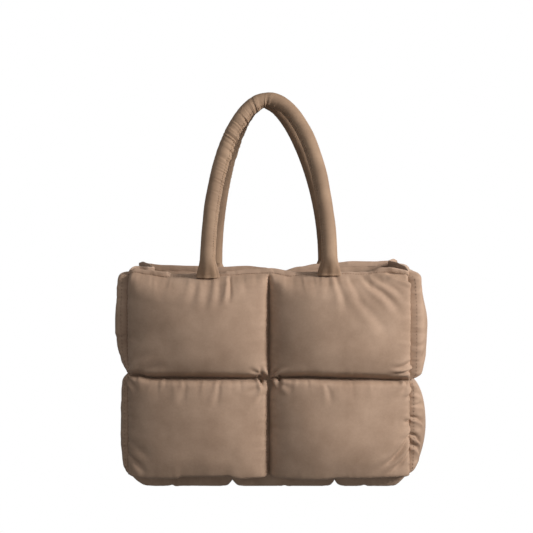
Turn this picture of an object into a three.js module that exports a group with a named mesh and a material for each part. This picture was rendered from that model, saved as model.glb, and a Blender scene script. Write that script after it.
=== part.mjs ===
// A quilted shoulder bag: a soft box sewn from five padded panels, open at the top, whose rim is
// bound with a folded strip, with two padded tube handles that lean together at the top.
// Millimetres, +Z up, front towards -Y, origin under the middle of the bag on the surface it rests on.
import * as THREE from "three";

// The body, measured between its seams
const seamWidth = 344; // across the front, from side seam to side seam
const seamDepth = 120; // from the front panel's seams to the back panel's
const baseSeamHeight = 16; // seam round the base, above the surface the bag rests on
const quiltSeamHeight = 136; // seam that divides the upper pillows from the lower ones
const rimSeamHeight = 264; // seam under the rim strip, halfway along a pillow

// The padding of each panel
const seamThickness = 3; // where a panel is sewn through or ends in a seam
const frontPuff = 32; // how far a front or back pillow stands out from its seams
const sidePuff = 24; // the same on the side panels
const basePuff = 26; // the same on the base, before the weight of the bag flattens it
const frontInnerPuff = 10; // how far a front or back pillow swells into the bag
const sideInnerPuff = 8; // the same on the side panels
const baseInnerPuff = 6; // the same on the base
const pillowSag = 0.1; // share of its puff by which a pillow sinks under its own weight

// The rim
const rimStripHeight = 7; // the folded strip that binds the opening
const rimStripThickness = 3.5;
const rimCornerRise = 4; // how much higher the rim seam is at the corners
const frontRimDip = 3; // how far the centre seam pulls the front rim down
const backRimDip = 10; // the same on the back rim
const rimDipReach = 30; // how far to each side of the centre seam the dip fades
const sideTuck = 20; // how far the side panels fold into the bag at the rim
const sideTuckDepth = 60; // how far below the rim that fold fades out

// The handles
const handleSpan = 148; // between the two legs of one handle, middle to middle
const handleDrop = 207; // from the rim seam to the underside of the arch
const handleDiameter = 19; // of the padded tube
const handleFlareWidth = 28; // the flattened end that is sewn to the rim
const handleFlareDepth = 9;
const handleFlareLength = 26; // over which the flattened end turns into the round tube
const handleLeg = 15; // straight stretch above the rim before the arch starts

// What is sewn together keeps this clearance
const seamGap = 0.3;

// Pillows of the upright panels from the bottom up. crest is the share of the pillow's height at
// which it stands out most, and puff the share of its panel's puff.
const frontRows = [
  { name: "lower", crest: 0.45, puff: 0.96 },
  { name: "upper", crest: 0.42, puff: 1 },
];
const sideRows = [
  { name: "lower", crest: 0.5, puff: 0.8 },
  { name: "upper", crest: 0.7, puff: 1 },
];
const frontColumns = [
  { name: "left", crest: 0.5, puff: 1 },
  { name: "right", crest: 0.5, puff: 1 },
];
// The base's three pillows, whose inner seams lie at these shares of half the width
const baseColumns = [
  { name: "left", crest: 0.5, puff: 1, end: -0.27 },
  { name: "middle", crest: 0.5, puff: 1, end: 0.5 },
  { name: "right", crest: 0.5, puff: 1, end: 1 },
];
const singlePillow = [{ name: "whole", crest: 0.5, puff: 1 }];

// Fullness of a pillow's section: below 1 its sides rise steeply from the seams
const outerFullness = 0.6;
const innerFullness = 1;
const baseFullness = 0.5;

// Facets along each side of a pillow, of a handle's arch and round its tube
const frontColumnSteps = 11;
const uprightRowSteps = 9;
const sideColumnSteps = 10;
const baseColumnSteps = 8;
const baseRowSteps = 10;
const archSteps = 32;
const legSteps = 4;
const tubeSides = 12;

// Places that follow from the sizes above
const halfWidth = seamWidth / 2;
const halfDepth = seamDepth / 2;
const halfSeam = seamThickness / 2;
const sidePlane = halfWidth + seamGap + halfSeam;
const uprightBottom = baseSeamHeight - halfSeam;
const baseHalfDepth = halfDepth - halfSeam - seamGap;
const innerBottom = baseSeamHeight + halfSeam + seamGap;

const nylon = { roughness: 0.75, metalness: 0, side: THREE.DoubleSide };

function smoothstep(value) {
  const t = Math.min(1, Math.max(0, value));
  return t * t * (3 - 2 * t);
}

// Height of a pillow's section at a share of its width: 0 at both seams and 1 at its crest.
function swell(share, crest, fullness) {
  const away = share < crest ? (crest - share) / crest : (share - crest) / (1 - crest);
  return Math.pow(Math.max(0, 1 - away * away), fullness);
}

// Shares from 0 to 1 that lie closer together towards both seams, where a pillow curves most.
function seamSpacedShares(steps) {
  return Array.from({ length: steps + 1 }, (_, k) => (1 - Math.cos((Math.PI * k) / steps)) / 2);
}

// The grid lines of a row of pillows that meet at the given seams. The inner face stays flat up to
// innerStart and from innerEnd on, where the neighbouring panels stand against it.
function gridLines(seams, pillows, steps, innerStart, innerEnd) {
  const lines = [];
  pillows.forEach((pillow, index) => {
    const start = seams[index];
    const end = seams[index + 1];
    const innerFrom = index === 0 ? innerStart : start;
    const innerTo = index === pillows.length - 1 ? innerEnd : end;
    seamSpacedShares(steps)
      .slice(index === 0 ? 0 : 1)
      .forEach((share) => {
        const at = start + share * (end - start);
        const innerShare = Math.min(1, Math.max(0, (at - innerFrom) / (innerTo - innerFrom)));
        lines.push({ at, share, innerShare, crest: pillow.crest, puff: pillow.puff });
      });
  });
  return lines;
}

// A closed mesh from its corners and its triangles, turned so that its faces point outwards.
function closedGeometry(corners, triangles) {
  const volume = triangles.reduce((sum, [a, b, c]) => {
    const cross = new THREE.Vector3().crossVectors(corners[b], corners[c]);
    return sum + corners[a].dot(cross);
  }, 0);
  const outward = volume > 0 ? triangles : triangles.map(([a, b, c]) => [a, c, b]);
  const geometry = new THREE.BufferGeometry().setFromPoints(corners);
  geometry.setIndex(outward.flat());
  geometry.computeVertexNormals();
  return geometry;
}

function quad(a, b, c, d) {
  return [
    [a, b, c],
    [a, c, d],
  ];
}

// A padded panel: an outer and an inner skin over the same grid, joined round the edge. place turns
// a point of the panel's plane and its distance outwards from that plane into a point in space.
function paddedPanel({ columns, rows, outerPuff, innerPuff, fullness, place }) {
  const corners = [];
  const skins = [1, -1].map((face) =>
    rows.map((row) =>
      columns.map((column) => {
        const outer =
          outerPuff *
          column.puff *
          row.puff *
          swell(column.share, column.crest, fullness) *
          swell(row.share, row.crest, fullness);
        const inner =
          innerPuff *
          swell(column.innerShare, column.crest, innerFullness) *
          swell(row.innerShare, row.crest, innerFullness);
        const swollen = face > 0 ? outer : inner;
        corners.push(place(column.at, row.at, face * (halfSeam + swollen), swollen));
        return corners.length - 1;
      }),
    ),
  );
  const [outerSkin, innerSkin] = skins;
  const lastRow = rows.length - 1;
  const lastColumn = columns.length - 1;
  const triangles = [];
  for (let r = 0; r < lastRow; r++) {
    for (let c = 0; c < lastColumn; c++) {
      const [a, b] = [outerSkin[r][c], outerSkin[r][c + 1]];
      const [d, e] = [outerSkin[r + 1][c], outerSkin[r + 1][c + 1]];
      triangles.push(...quad(a, b, e, d));
      const [f, g] = [innerSkin[r][c], innerSkin[r][c + 1]];
      const [h, i] = [innerSkin[r + 1][c], innerSkin[r + 1][c + 1]];
      triangles.push(...quad(f, h, i, g));
    }
  }
  for (let c = 0; c < lastColumn; c++) {
    triangles.push(...quad(innerSkin[0][c], innerSkin[0][c + 1], outerSkin[0][c + 1], outerSkin[0][c]));
    const [a, b] = [outerSkin[lastRow][c], outerSkin[lastRow][c + 1]];
    triangles.push(...quad(a, b, innerSkin[lastRow][c + 1], innerSkin[lastRow][c]));
  }
  for (let r = 0; r < lastRow; r++) {
    triangles.push(...quad(outerSkin[r][0], outerSkin[r + 1][0], innerSkin[r + 1][0], innerSkin[r][0]));
    const [a, b] = [innerSkin[r][lastColumn], innerSkin[r + 1][lastColumn]];
    triangles.push(...quad(a, b, outerSkin[r + 1][lastColumn], outerSkin[r][lastColumn]));
  }
  return closedGeometry(corners, triangles);
}

// How far the rim seam lies above rimSeamHeight on the front or back, at a place across the bag.
function rimLift(x, dip) {
  const corner = rimCornerRise * Math.pow(Math.abs(x) / halfWidth, 6);
  return corner - dip * Math.exp(-Math.pow(x / rimDipReach, 2));
}

// The share of a lift at the rim that reaches down to a height: none below the quilting seam.
function liftShare(height) {
  return Math.max(0, (height - quiltSeamHeight) / (rimSeamHeight - quiltSeamHeight));
}

// How far the side panels are folded into the bag at a place from front to back.
function tuckAtRim(y) {
  const share = Math.min(1, Math.abs(y) / baseHalfDepth);
  return (sideTuck * (1 + Math.cos(Math.PI * share))) / 2;
}

function tuck(y, height) {
  return tuckAtRim(y) * smoothstep(1 - (rimSeamHeight - height) / sideTuckDepth);
}

function uprightRows(pillows) {
  const seams = [uprightBottom, quiltSeamHeight, rimSeamHeight];
  return gridLines(seams, pillows, uprightRowSteps, innerBottom, rimSeamHeight);
}

const frontGrid = gridLines(
  [-halfWidth, 0, halfWidth],
  frontColumns,
  frontColumnSteps,
  -halfWidth,
  halfWidth,
);
const sideEdge = halfDepth + halfSeam;
const sideGrid = gridLines(
  [-sideEdge, sideEdge],
  singlePillow,
  sideColumnSteps,
  -baseHalfDepth,
  baseHalfDepth,
);

// The front panel for facing -1 and the back panel for facing 1.
function widePanel(facing, dip) {
  return paddedPanel({
    columns: frontGrid,
    rows: uprightRows(frontRows),
    outerPuff: frontPuff,
    innerPuff: frontInnerPuff,
    fullness: outerFullness,
    place: (x, height, outward, swollen) => {
      const sag = outward > 0 ? pillowSag * swollen : 0;
      const z = height + rimLift(x, dip) * liftShare(height) - sag;
      return new THREE.Vector3(x, facing * (halfDepth + outward), z);
    },
  });
}

// The right side panel for facing 1 and the left one for facing -1.
function sidePanel(facing) {
  return paddedPanel({
    columns: sideGrid,
    rows: uprightRows(sideRows),
    outerPuff: sidePuff,
    innerPuff: sideInnerPuff,
    fullness: outerFullness,
    place: (y, height, outward) => {
      const z = height + rimCornerRise * liftShare(height);
      return new THREE.Vector3(facing * (sidePlane + outward - tuck(y, height)), y, z);
    },
  });
}

// The base, flattened where the bag rests on it.
function basePanel() {
  const seams = [-halfWidth, ...baseColumns.map((column) => column.end * halfWidth)];
  return paddedPanel({
    columns: gridLines(seams, baseColumns, baseColumnSteps, -halfWidth, halfWidth),
    rows: gridLines(
      [-baseHalfDepth, baseHalfDepth],
      singlePillow,
      baseRowSteps,
      -baseHalfDepth,
      baseHalfDepth,
    ),
    outerPuff: basePuff,
    innerPuff: baseInnerPuff,
    fullness: baseFullness,
    place: (x, y, outward) => new THREE.Vector3(x, y, Math.max(0, baseSeamHeight - outward)),
  });
}

// The rim strip's middle line: once round the opening on the panels' top edges.
function rimPath() {
  const front = frontGrid.map(({ at }) => ({
    x: at,
    y: -halfDepth,
    z: rimSeamHeight + rimLift(at, frontRimDip),
  }));
  const back = frontGrid.map(({ at }) => ({
    x: -at,
    y: halfDepth,
    z: rimSeamHeight + rimLift(at, backRimDip),
  }));
  const side = (facing) =>
    sideGrid.slice(1, -1).map(({ at }) => ({
      x: facing * (sidePlane - tuckAtRim(at)),
      y: facing * at,
      z: rimSeamHeight + rimCornerRise,
    }));
  const corner = (x, y) => ({ x, y, z: rimSeamHeight + rimCornerRise });
  return [
    ...front.slice(1, -1),
    corner(sidePlane, -halfDepth),
    ...side(1),
    corner(sidePlane, halfDepth),
    ...back.slice(1, -1),
    corner(-sidePlane, halfDepth),
    ...side(-1),
    corner(-sidePlane, -halfDepth),
  ];
}

// The folded strip that binds the opening: a closed loop with a flat upright section.
function rimStrip() {
  const path = rimPath();
  const corners = [];
  path.forEach((point, index) => {
    const before = path[(index + path.length - 1) % path.length];
    const after = path[(index + 1) % path.length];
    const inbound = new THREE.Vector2(point.x - before.x, point.y - before.y).normalize();
    const outbound = new THREE.Vector2(after.x - point.x, after.y - point.y).normalize();
    const along = inbound.clone().add(outbound).normalize();
    const reach = rimStripThickness / 2 / along.dot(inbound);
    const bottom = point.z + seamGap;
    const top = bottom + rimStripHeight;
    for (const [side, z] of [
      [1, bottom],
      [1, top],
      [-1, top],
      [-1, bottom],
    ]) {
      corners.push(
        new THREE.Vector3(point.x + side * reach * along.y, point.y - side * reach * along.x, z),
      );
    }
  });
  const triangles = [];
  path.forEach((_, index) => {
    const here = index * 4;
    const next = ((index + 1) % path.length) * 4;
    for (let k = 0; k < 4; k++) {
      const l = (k + 1) % 4;
      triangles.push(...quad(here + k, next + k, next + l, here + l));
    }
  });
  return closedGeometry(corners, triangles);
}

// One handle's middle line for the front, facing -1, or the back, facing 1: up one leg, over the
// arch and down the other. Each leg stands against the rim strip and leans in above it.
function handlePath(facing, dip) {
  const footHeight = rimSeamHeight + rimLift(handleSpan / 2, dip) + seamGap;
  const radius = handleDiameter / 2;
  const archBase = rimSeamHeight + handleLeg;
  const archRise = rimSeamHeight + handleDrop + radius - archBase;
  const stripFace = halfDepth + rimStripThickness / 2 + seamGap;
  const lean = stripFace - seamGap;
  const leanStart = seamGap + rimStripHeight;
  const outline = [];
  for (let k = 0; k < legSteps; k++) {
    const z = footHeight + (k / legSteps) * (archBase - footHeight);
    outline.push({ x: -handleSpan / 2, z });
  }
  for (let k = 0; k <= archSteps; k++) {
    const angle = (Math.PI * k) / archSteps;
    outline.push({
      x: (-handleSpan / 2) * Math.cos(angle),
      z: archBase + archRise * Math.sin(angle),
    });
  }
  for (let k = legSteps - 1; k >= 0; k--) {
    outline.push({ x: handleSpan / 2, z: outline[k].z });
  }
  return outline.map(({ x, z }) => {
    const height = z - footHeight;
    const round = smoothstep(height / handleFlareLength);
    const halfAcross = THREE.MathUtils.lerp(handleFlareWidth / 2, radius, round);
    const halfDeep = THREE.MathUtils.lerp(handleFlareDepth / 2, radius, round);
    const leanShare = (height - leanStart) / (archRise + handleLeg - leanStart);
    const leaning = lean * Math.pow(Math.max(0, leanShare), 1.25);
    const y = facing * (stripFace + halfDeep - leaning);
    return { point: new THREE.Vector3(x, y, z), halfAcross, halfDeep };
  });
}

// A padded tube handle: an oval section swept along its middle line and closed at both feet.
function handle(facing, dip) {
  const path = handlePath(facing, dip);
  const corners = [];
  path.forEach(({ point, halfAcross, halfDeep }, index) => {
    const before = path[Math.max(0, index - 1)].point;
    const after = path[Math.min(path.length - 1, index + 1)].point;
    const along = after.clone().sub(before).normalize();
    const isFoot = index === 0 || index === path.length - 1;
    if (isFoot) along.set(0, 0, Math.sign(along.z));
    const across = new THREE.Vector3(along.z, 0, -along.x).normalize();
    const deep = new THREE.Vector3().crossVectors(along, across);
    for (let k = 0; k < tubeSides; k++) {
      const angle = (2 * Math.PI * (k + 0.5)) / tubeSides;
      corners.push(
        point
          .clone()
          .addScaledVector(across, halfAcross * Math.cos(angle))
          .addScaledVector(deep, halfDeep * Math.sin(angle)),
      );
    }
  });
  const triangles = [];
  for (let ring = 0; ring < path.length - 1; ring++) {
    for (let k = 0; k < tubeSides; k++) {
      const l = (k + 1) % tubeSides;
      const here = ring * tubeSides;
      const next = here + tubeSides;
      triangles.push(...quad(here + k, here + l, next + l, next + k));
    }
  }
  const lastRing = (path.length - 1) * tubeSides;
  for (let k = 1; k < tubeSides - 1; k++) {
    triangles.push([0, k + 1, k]);
    triangles.push([lastRing, lastRing + k, lastRing + k + 1]);
  }
  return closedGeometry(corners, triangles);
}

function piece(name, color, geometry) {
  const mesh = new THREE.Mesh(geometry, new THREE.MeshStandardMaterial({ ...nylon, color }));
  mesh.name = name;
  return mesh;
}

const bag = new THREE.Group();
bag.add(piece("front_panel", "#9f846f", widePanel(-1, frontRimDip)));
bag.add(piece("back_panel", "#9b806b", widePanel(1, backRimDip)));
bag.add(piece("side_panel_left", "#8a7563", sidePanel(-1)));
bag.add(piece("side_panel_right", "#bca18a", sidePanel(1)));
bag.add(piece("base_panel", "#7d6857", basePanel()));
bag.add(piece("rim_strip", "#ab907a", rimStrip()));
bag.add(piece("handle_front", "#9f8771", handle(-1, frontRimDip)));
bag.add(piece("handle_back", "#8b7462", handle(1, backRimDip)));

export default bag;
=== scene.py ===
"""A quilted shoulder bag in puffed taupe nylon, dressed over its fixed frame."""

import math

import bpy
import numpy as np
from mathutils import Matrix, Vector, noise


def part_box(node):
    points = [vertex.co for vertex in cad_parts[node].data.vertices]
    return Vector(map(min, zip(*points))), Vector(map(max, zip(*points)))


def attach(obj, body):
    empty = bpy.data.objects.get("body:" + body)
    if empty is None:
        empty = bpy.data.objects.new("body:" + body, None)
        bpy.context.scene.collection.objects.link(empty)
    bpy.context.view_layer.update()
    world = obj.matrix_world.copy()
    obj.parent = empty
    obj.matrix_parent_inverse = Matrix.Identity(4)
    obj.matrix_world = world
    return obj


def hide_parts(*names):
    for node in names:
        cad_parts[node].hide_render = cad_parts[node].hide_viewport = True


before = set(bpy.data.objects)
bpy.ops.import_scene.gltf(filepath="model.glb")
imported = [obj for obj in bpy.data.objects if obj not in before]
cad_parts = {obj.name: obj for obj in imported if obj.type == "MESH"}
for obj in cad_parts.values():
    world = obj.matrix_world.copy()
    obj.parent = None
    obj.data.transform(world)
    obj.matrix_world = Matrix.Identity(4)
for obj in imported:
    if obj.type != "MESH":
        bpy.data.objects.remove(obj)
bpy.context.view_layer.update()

MM = 0.001

# Sizes of the body, taken from the frame
front_low, front_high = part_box("front_panel")
side_low, side_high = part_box("side_panel_right")
HALF_WIDTH = front_high[0] + 0.9 * MM  # the side seams, where front and side panels meet
HALF_DEPTH = side_high[1] - 1.2 * MM  # the plane of the front's and the back's seams
BASE_SEAM = 16 * MM
UPRIGHT_BOTTOM = BASE_SEAM - 0.4 * MM
QUILT_SEAM = 136 * MM
RIM_SEAM = 264 * MM
SEAM_HALF = 0.4 * MM  # half the thickness of the cloth where a panel is sewn through

# Fabric grid and simulation
FINE = 2.7 * MM  # spacing of the simulated threads, along the cloth; the finished mesh halves it
COARSE = 3.4 * MM
SIM_FRAMES = 12
PRESSURE = 30
GROWTH = 0.018  # share by which the cloth is cut larger than the space that it is sewn into
SIM_SHARE = 0.22  # share of the simulated movement that is kept: the filling is packed tight
SAG = 0.17  # share of its puff by which a front or back pillow sinks
RISE = 0.12  # slope at which the top of a lower pillow climbs outwards
GROOVE = 0.27  # slope at which the underside of an upper pillow climbs outwards
OVERHANG = 0.2  # slope at which the underside of a lower pillow drops outwards
SIDE_RISE = 0.3  # slope at which the top of a side panel climbs outwards
BASE_HANG = 9.5 * MM  # how far the base's inner seams hang below its outer ones
BOW = 5 * MM  # how far the middle of the front and of the back bows out
CORNER = 8 * MM  # radius of the opening's corners, seen from above

# Height of the rim seam, then the lift of the front's lower edge and of its quilting seam: place
# along the panel and height, mm
FRONT_RIM = [
    (-178, 262.5), (-163, 266.5), (-150, 264), (-126, 260.5), (-75, 261), (-48, 262), (-22, 264), (2, 265),
    (28, 261), (52, 263), (77, 264), (118, 263), (140, 266), (150, 267), (165, 265), (178, 261.5),
]  # fmt: skip
BACK_RIM = [
    (-172, 265), (-138, 262), (-97, 261), (-61, 259), (-30, 262), (-6, 259), (15, 253),
    (42, 260), (65, 264), (118, 267), (172, 268),
]  # fmt: skip
LEFT_RIM = [(-60, 262.5), (-45, 266), (-20, 264), (0, 263), (28, 266), (45, 267), (60, 265)]
RIGHT_RIM = [(-60, 261.5), (-45, 267), (-20, 270), (0, 271), (30, 272), (60, 268)]
FRONT_BASE = [
    (-178, -2), (-115, -1), (-104, 2), (-52, 2.5), (-34, -2), (60, -2), (84, 0), (120, -1), (178, -1),
]  # fmt: skip
FRONT_QUILT = [
    (-178, 5), (-158, 3.4), (-142, 0.4), (0, 0), (14, 1.2), (40, 1.4), (100, -0.6), (178, -3),
]  # fmt: skip
INNER_HOLLOW = -32 * MM  # where the back's inner cloth is folded, below its rim
RIM_HEIGHT = 7 * MM
TUCK_DEPTH = 70 * MM  # how far below the rim the side panels are folded into the bag
LEFT_TUCK = 27 * MM
RIGHT_TUCK = 19 * MM

# How the binding stands along the front rim: place, lean out of the bag in degrees, height
FRONT_BINDING = [
    (-178, -8, 4.0), (-163, -4, 4.8), (-150, 0, 5.4), (-130, 6, 6.8), (-123, 6, 7.0), (-120, -62, 6.0),
    (-60, -58, 6.5), (-50, -24, 6.5), (0, -16, 6.6), (24, -10, 7.2), (30, -14, 7.0),
    (34, -50, 6.5), (124, -58, 6.5), (136, -12, 7.0), (150, 6, 6.0), (166, 6, 4.8), (178, 4, 4.2),
]  # fmt: skip

# Handles
HANDLE_HALF_SPAN = 74 * MM
HANDLE_DROP = 207 * MM
TUBE_RADIUS = 9.5 * MM
FLARE_HALF_WIDTH = 14 * MM
FLARE_HALF_DEPTH = 4.5 * MM
HANDLE_LEG = 15 * MM
STRIP_FACE = HALF_DEPTH + 2.05 * MM  # the face of the rim strip that a handle stands against

# Folds that the photo shows on a panel: from and to, in mm across and up the panel, then how
# deep and how wide the fold is
FRONT_FOLDS = [
    # upper left pillow, below the handle
    (-47, 263, -49, 234, 2.2, 2.6),
    (-60, 262, -64, 226, 1.2, 4.0),
    (-74, 262, -80, 222, 1.0, 5.0),
    (-31, 263, -28, 240, 0.9, 4.0),
    (-88, 260, -97, 230, 0.8, 5.0),
    # upper left pillow, radiating from its lower left corner
    (-171, 143, -143, 178, 1.1, 4.0),
    (-170, 152, -152, 205, 0.8, 5.0),
    (-160, 140, -120, 158, 0.8, 5.0),
    # upper right pillow, below the handle and towards the side seam
    (82, 263, 92, 222, 1.3, 4.0),
    (98, 262, 112, 232, 0.9, 4.0),
    (116, 262, 162, 212, 2.0, 4.0),
    (128, 263, 166, 232, 1.6, 3.5),
    (108, 240, 150, 178, 0.9, 6.0),
    (146, 264, 190, 249, 3.0, 3.0),
    # upper right pillow, its lower right corner
    (174, 150, 146, 142, 4.0, 2.4),
    (170, 160, 148, 150, 1.8, 3.0),
    # the knot of gathers where the quilting seams cross
    (13, 138, 7, 118, 2.6, 3.0),
    (1, 134, 4, 120, 5.0, 3.4),
    (-12, 138, -3, 122, 3.6, 2.4),
    (-5, 138, -10, 154, 2.6, 2.2),
    (4, 139, 12, 150, 2.0, 2.4),
    (-3, 139, -26, 152, 1.6, 3.0),
    (4, 140, 22, 156, 1.2, 3.0),
    (-2, 133, -14, 108, 1.8, 2.6),
    (-5, 131, -30, 121, 1.3, 3.0),
    (9, 131, 30, 124, 1.2, 3.0),
    # lower right pillow, its outer edge and corners
    (176, 84, 160, 90, 3.0, 2.4),
    (174, 74, 158, 62, 1.6, 3.0),
    (172, 70, 128, 24, 3.4, 3.6),
    (172, 52, 140, 20, 3.0, 3.2),
    (176, 127, 164, 114, 3.2, 2.2),
    (166, 134, 158, 122, 2.0, 2.4),
    (-172, 132, -158, 120, 2.6, 2.4),
    (170, 92, 152, 58, 1.0, 5.0),
    (168, 130, 148, 110, 1.0, 4.0),
    # lower left pillow, its outer corners
    (-171, 44, -146, 22, 1.8, 3.5),
    (-170, 62, -140, 40, 1.0, 5.0),
    (-60, 131, -66, 104, 0.9, 3.5),
    (-100, 131, -108, 108, 0.8, 4.0),
    (70, 131, 76, 108, 0.8, 3.5),
]
BACK_FOLDS = [
    (50, 260, 46, 226, 1.6, 3.0),
    (-70, 260, -76, 226, 1.3, 4.0),
    (-171, 146, -140, 170, 1.4, 4.0),
    (171, 146, 142, 172, 1.4, 4.0),
    (-3, 139, -24, 154, 1.6, 3.0),
    (4, 140, 24, 156, 1.4, 3.0),
    (-2, 133, -14, 112, 1.8, 2.6),
    (3, 133, 14, 110, 1.6, 2.6),
    (171, 56, 136, 28, 1.6, 4.0),
    (-171, 56, -138, 28, 1.6, 4.0),
]
RIGHT_SIDE_FOLDS = [
    (-60, 88, -38, 74, 3.6, 2.6),
    (-60, 66, -42, 46, 3.0, 2.4),
    (-60, 54, -40, 30, 2.6, 2.8),
    (-58, 104, -30, 98, 1.6, 3.0),
    (-58, 120, -36, 110, 1.2, 3.0),
    (-56, 62, -34, 38, 1.4, 3.5),
    (58, 96, 30, 70, 1.4, 4.0),
    (-56, 160, -30, 176, 1.2, 4.0),
    (0, 262, -2, 222, 2.4, 7.0),
]
LEFT_SIDE_FOLDS = [
    (-58, 150, -30, 172, 1.4, 4.0),
    (-58, 112, -30, 96, 1.2, 4.0),
    (58, 80, 30, 56, 1.4, 4.0),
    (0, 262, 2, 222, 2.4, 7.0),
]
BASE_FOLDS = [
    (-120, -57, -112, -30, 1.6, 4.0),
    (20, -57, 26, -34, 1.2, 4.0),
    (-90, 57, -84, 32, 1.4, 4.0),
    (120, -57, 112, -36, 1.6, 4.0),
]


def linear(hex_colour):
    """An sRGB hex colour as linear red, green, blue and alpha."""
    parts = [int(hex_colour[i : i + 2], 16) / 255 for i in (1, 3, 5)]
    return [c / 12.92 if c <= 0.04045 else ((c + 0.055) / 1.055) ** 2.4 for c in parts] + [1.0]


def add_node(tree, kind, inputs=None, **settings):
    """One node with its settings. An input is given a value, or is linked if given a socket."""
    made = tree.nodes.new(kind)
    for name, value in settings.items():
        setattr(made, name, value)
    for name, value in (inputs or {}).items():
        if isinstance(value, bpy.types.NodeSocket):
            tree.links.new(value, made.inputs[name])
        else:
            made.inputs[name].default_value = value
    return made


def woven_nylon(name, lit, shaded, thread=0.9 * MM, crinkle=0.07, sheen=0.25):
    """Matt downproof nylon, woven from fine filaments and left uncoated. To the eye it is soft
    and even, slightly mottled, with a faint sheen at grazing angles. Its threads lie 0.2 mm
    apart, too fine to show, so the weave is drawn at the coarser pitch given as thread."""
    material = bpy.data.materials.new(name)
    material.use_nodes = True
    tree = material.node_tree
    tree.nodes.clear()
    place = add_node(tree, "ShaderNodeTexCoord")
    cloth = add_node(tree, "ShaderNodeUVMap", uv_map="cloth")

    mottle = add_node(
        tree,
        "ShaderNodeTexNoise",
        {"Vector": place.outputs["Object"], "Scale": 1 / 0.035, "Detail": 4.0, "Roughness": 0.6},
    )
    slub = add_node(
        tree,
        "ShaderNodeTexNoise",
        {"Vector": cloth.outputs["UV"], "Scale": 1 / 0.0025, "Detail": 3.0, "Roughness": 0.7},
    )
    mixed = add_node(
        tree,
        "ShaderNodeMath",
        {0: slub.outputs["Fac"], 1: 0.35, 2: mottle.outputs["Fac"]},
        operation="MULTIPLY_ADD",
    )
    colour = add_node(tree, "ShaderNodeValToRGB", {"Fac": mixed.outputs["Value"]})
    colour.color_ramp.elements[0].position = 0.42
    colour.color_ramp.elements[0].color = linear(shaded)
    colour.color_ramp.elements[1].position = 0.95
    colour.color_ramp.elements[1].color = linear(lit)

    warp = add_node(
        tree,
        "ShaderNodeTexWave",
        {"Vector": cloth.outputs["UV"], "Scale": 0.314 / thread, "Distortion": 0.6, "Detail": 1.0},
        wave_type="BANDS",
        bands_direction="X",
    )
    weft = add_node(
        tree,
        "ShaderNodeTexWave",
        {"Vector": cloth.outputs["UV"], "Scale": 0.314 / thread, "Distortion": 0.6, "Detail": 1.0},
        wave_type="BANDS",
        bands_direction="Y",
    )
    weave = add_node(
        tree,
        "ShaderNodeMath",
        {0: warp.outputs["Fac"], 1: weft.outputs["Fac"]},
        operation="ADD",
    )
    woven = add_node(
        tree,
        "ShaderNodeBump",
        {"Height": weave.outputs["Value"], "Strength": 0.18, "Distance": 0.06 * MM},
    )
    upright = add_node(
        tree,
        "ShaderNodeMapping",
        {"Vector": place.outputs["Object"], "Scale": (1.0, 1.0, 0.3)},
    )
    crease = add_node(
        tree,
        "ShaderNodeTexNoise",
        {"Vector": upright.outputs["Vector"], "Scale": 1 / 0.016, "Detail": 2.0, "Roughness": 0.5},
    )
    creased = add_node(
        tree,
        "ShaderNodeBump",
        {
            "Height": crease.outputs["Fac"],
            "Strength": crinkle,
            "Distance": 1.4 * MM,
            "Normal": woven.outputs["Normal"],
        },
    )
    rough = add_node(
        tree,
        "ShaderNodeMapRange",
        {"Value": slub.outputs["Fac"], "To Min": 0.66, "To Max": 0.82},
    )
    shader = add_node(
        tree,
        "ShaderNodeBsdfPrincipled",
        {
            "Base Color": colour.outputs["Color"],
            "Roughness": rough.outputs["Result"],
            "Normal": creased.outputs["Normal"],
            "IOR": 1.53,
            "Specular IOR Level": 0.3,
            "Sheen Weight": sheen,
            "Sheen Roughness": 0.45,
            "Sheen Tint": linear("#cdb9a6"),
        },
    )
    add_node(tree, "ShaderNodeOutputMaterial", {"Surface": shader.outputs["BSDF"]})
    return material


def spun_thread():
    """Polyester sewing thread, twisted and a little glossier than the cloth, one shade darker."""
    material = bpy.data.materials.new("polyester sewing thread, spun")
    material.use_nodes = True
    tree = material.node_tree
    tree.nodes.clear()
    place = add_node(tree, "ShaderNodeTexCoord")
    fuzz = add_node(
        tree,
        "ShaderNodeTexNoise",
        {"Vector": place.outputs["Object"], "Scale": 1 / 0.0006, "Detail": 2.0},
    )
    colour = add_node(tree, "ShaderNodeValToRGB", {"Fac": fuzz.outputs["Fac"]})
    colour.color_ramp.elements[0].color = linear("#6a5443")
    colour.color_ramp.elements[1].color = linear("#94795f")
    bump = add_node(
        tree,
        "ShaderNodeBump",
        {"Height": fuzz.outputs["Fac"], "Strength": 0.4, "Distance": 0.1 * MM},
    )
    shader = add_node(
        tree,
        "ShaderNodeBsdfPrincipled",
        {
            "Base Color": colour.outputs["Color"],
            "Roughness": 0.55,
            "IOR": 1.54,
            "Normal": bump.outputs["Normal"],
        },
    )
    add_node(tree, "ShaderNodeOutputMaterial", {"Surface": shader.outputs["BSDF"]})
    return material


def smoothstep(value):
    t = np.clip(value, 0, 1)
    return t * t * (3 - 2 * t)


def at_least(value, limit, soft=1.5 * MM):
    """Keeps a value above a limit, turning off smoothly over a short way."""
    gap = (value - limit) / soft
    return limit + soft * np.logaddexp(0, gap)


def at_most(value, limit, soft=1.5 * MM):
    return -at_least(-value, -limit, soft)


def drift(along, spacing, seed):
    """Smooth random values between -1 and 1 along a line, with one bend every spacing."""
    table = np.random.default_rng(seed).uniform(-1, 1, 1024)
    steps = np.asarray(along) / spacing + 300.0
    low = np.floor(steps).astype(int)
    blend = steps - low
    blend = blend * blend * (3 - 2 * blend)
    return table[low % 1024] * (1 - blend) + table[(low + 1) % 1024] * blend


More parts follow.
